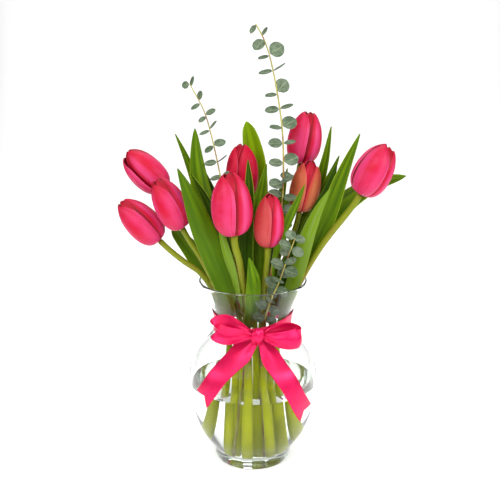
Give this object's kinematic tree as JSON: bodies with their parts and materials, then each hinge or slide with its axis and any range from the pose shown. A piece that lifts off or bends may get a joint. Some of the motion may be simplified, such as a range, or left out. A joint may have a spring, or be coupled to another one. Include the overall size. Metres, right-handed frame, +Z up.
{
  "type": "tulips in a vase",
  "caption": "Pink tulips with leaves and eucalyptus sprigs in a clear glass urn vase of water, with a satin ribbon bow at its neck.",
  "frame": {"origin": "centre of the vase's flat base, on the surface it stands on", "axes": "+Z up along the vase's axis; -Y is the front, where the bow is; +X is to the right seen from the front"},
  "size_m": [0.2967, 0.14, 0.4671],
  "materials": {
    "glass": "clear polished glass",
    "water": "clear water",
    "ribbon": "satin ribbon",
    "petal": "satin petals, lighter at the edges",
    "bud": "satin petals, salmon going to pink",
    "stem": "smooth yellow-green stem",
    "leaf": "satin leaf with fine veins along it",
    "eucalyptus": "matt grey-green leaves with a pale bloom"
  },
  "bodies": {
    "root": {"vase": "glass", "water": "water", "stem_front": "stem", "flower_front": "petal", "stem_right_centre": "stem", "flower_right_centre": "petal", "stem_back_centre": "stem", "flower_back_centre": "petal", "stem_left_middle": "stem", "flower_left_middle": "petal", "stem_left_low": "stem", "flower_left_low": "petal", "stem_left_high": "stem", "flower_left_high": "petal", "stem_right_high": "stem", "flower_right_high": "petal", "stem_half_open": "stem", "flower_half_open": "bud", "stem_far_right": "stem", "flower_far_right": "petal", "ribbon_band": "ribbon", "bow_knot": "ribbon", "bow_loop_left": "ribbon", "bow_loop_right": "ribbon", "bow_tail_left": "ribbon", "bow_tail_right": "ribbon", "leaf_left_thin": "leaf", "leaf_left_wide": "leaf", "leaf_left_front": "leaf", "leaf_left_folded": "leaf", "leaf_left_low": "leaf", "leaf_back_centre": "leaf", "leaf_centre_dark": "leaf", "leaf_centre_right": "leaf", "leaf_front_small": "leaf", "leaf_right_thin": "leaf", "leaf_right_short": "leaf", "leaf_right_dark": "leaf", "leaf_right_long": "leaf", "leaf_far_right": "leaf", "leaf_right_front": "leaf", "leaf_right_grey": "leaf", "leaf_back_small": "leaf", "leaf_stem_wrap": "leaf", "leaf_back_left": "leaf", "leaf_back_right": "leaf", "eucalyptus_tall": "eucalyptus", "eucalyptus_left": "eucalyptus", "eucalyptus_front": "eucalyptus"}
  },
  "joints": []
}
